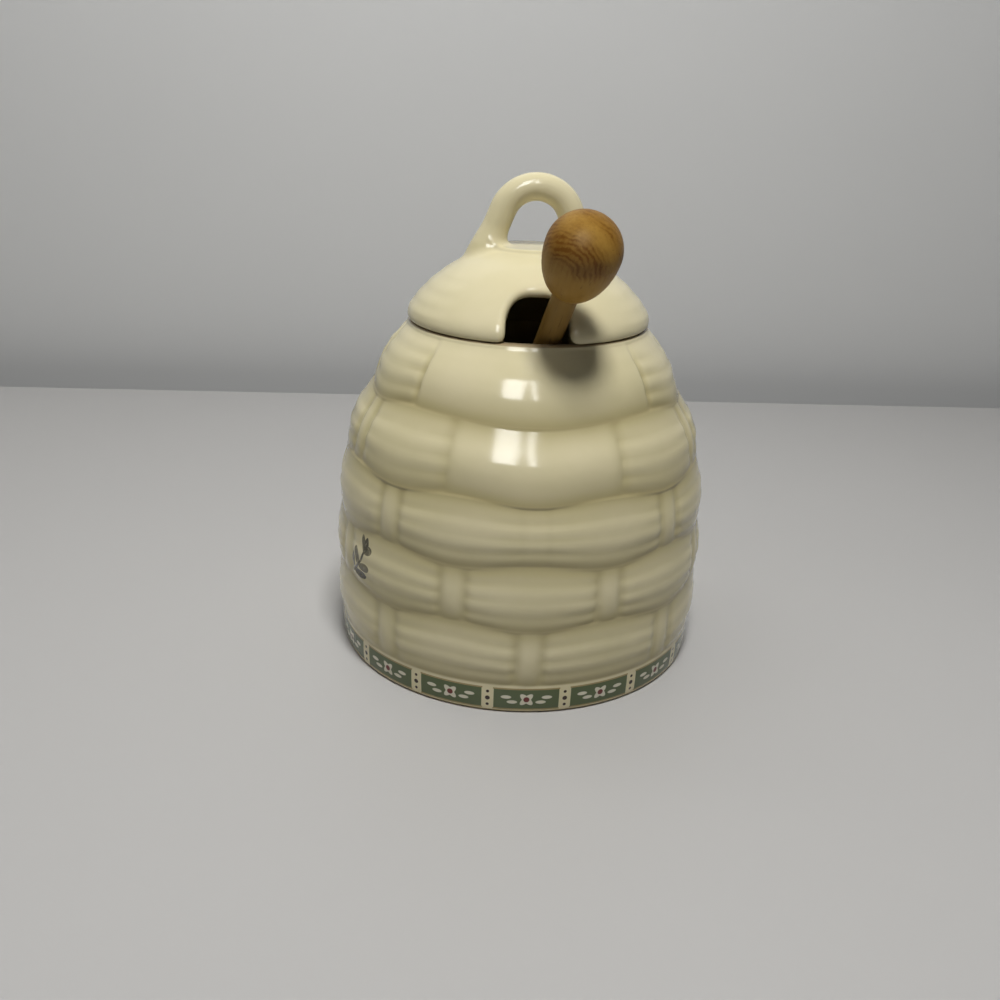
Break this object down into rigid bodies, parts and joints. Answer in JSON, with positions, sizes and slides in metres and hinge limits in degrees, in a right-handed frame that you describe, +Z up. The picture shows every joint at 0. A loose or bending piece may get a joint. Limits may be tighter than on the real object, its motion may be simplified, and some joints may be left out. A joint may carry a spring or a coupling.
{
  "type": "honey pot with lid and dipper",
  "caption": "Round glazed stoneware honey pot with woven-straw relief in bulging rows, loose domed lid with loop grip and front notch, and a wooden honey dipper.",
  "frame": {"origin": "centre of the foot, on the plane it stands on", "axes": "+Z up, -Y the front with the notch and the dipper, +X to the right seen from the front"},
  "size_m": [0.1136, 0.1136, 0.1405],
  "materials": {
    "pot_glaze": "glossy cream glaze, unglazed foot ring",
    "lid_glaze": "glossy cream glaze",
    "rod_wood": "smooth turned hardwood, satin oil",
    "knob_wood": "smooth turned hardwood, satin oil",
    "head_wood": "smooth turned hardwood, satin oil"
  },
  "bodies": {
    "pot": {"pot": "pot_glaze"},
    "lid": {"lid": "lid_glaze"},
    "dipper": {"dipper_rod": "rod_wood", "dipper_knob": "knob_wood", "dipper_head": "head_wood"}
  },
  "joints": [
    {"name": "lid_lift", "type": "slide", "parent": "pot", "child": "lid", "axis": [0, 0.1392, 0.9903], "range_m": [0, 0.06]},
    {"name": "dipper_lift", "type": "slide", "parent": "pot", "child": "dipper", "axis": [0.1757, -0.5372, 0.8249], "range_m": [0, 0.055]}
  ]
}
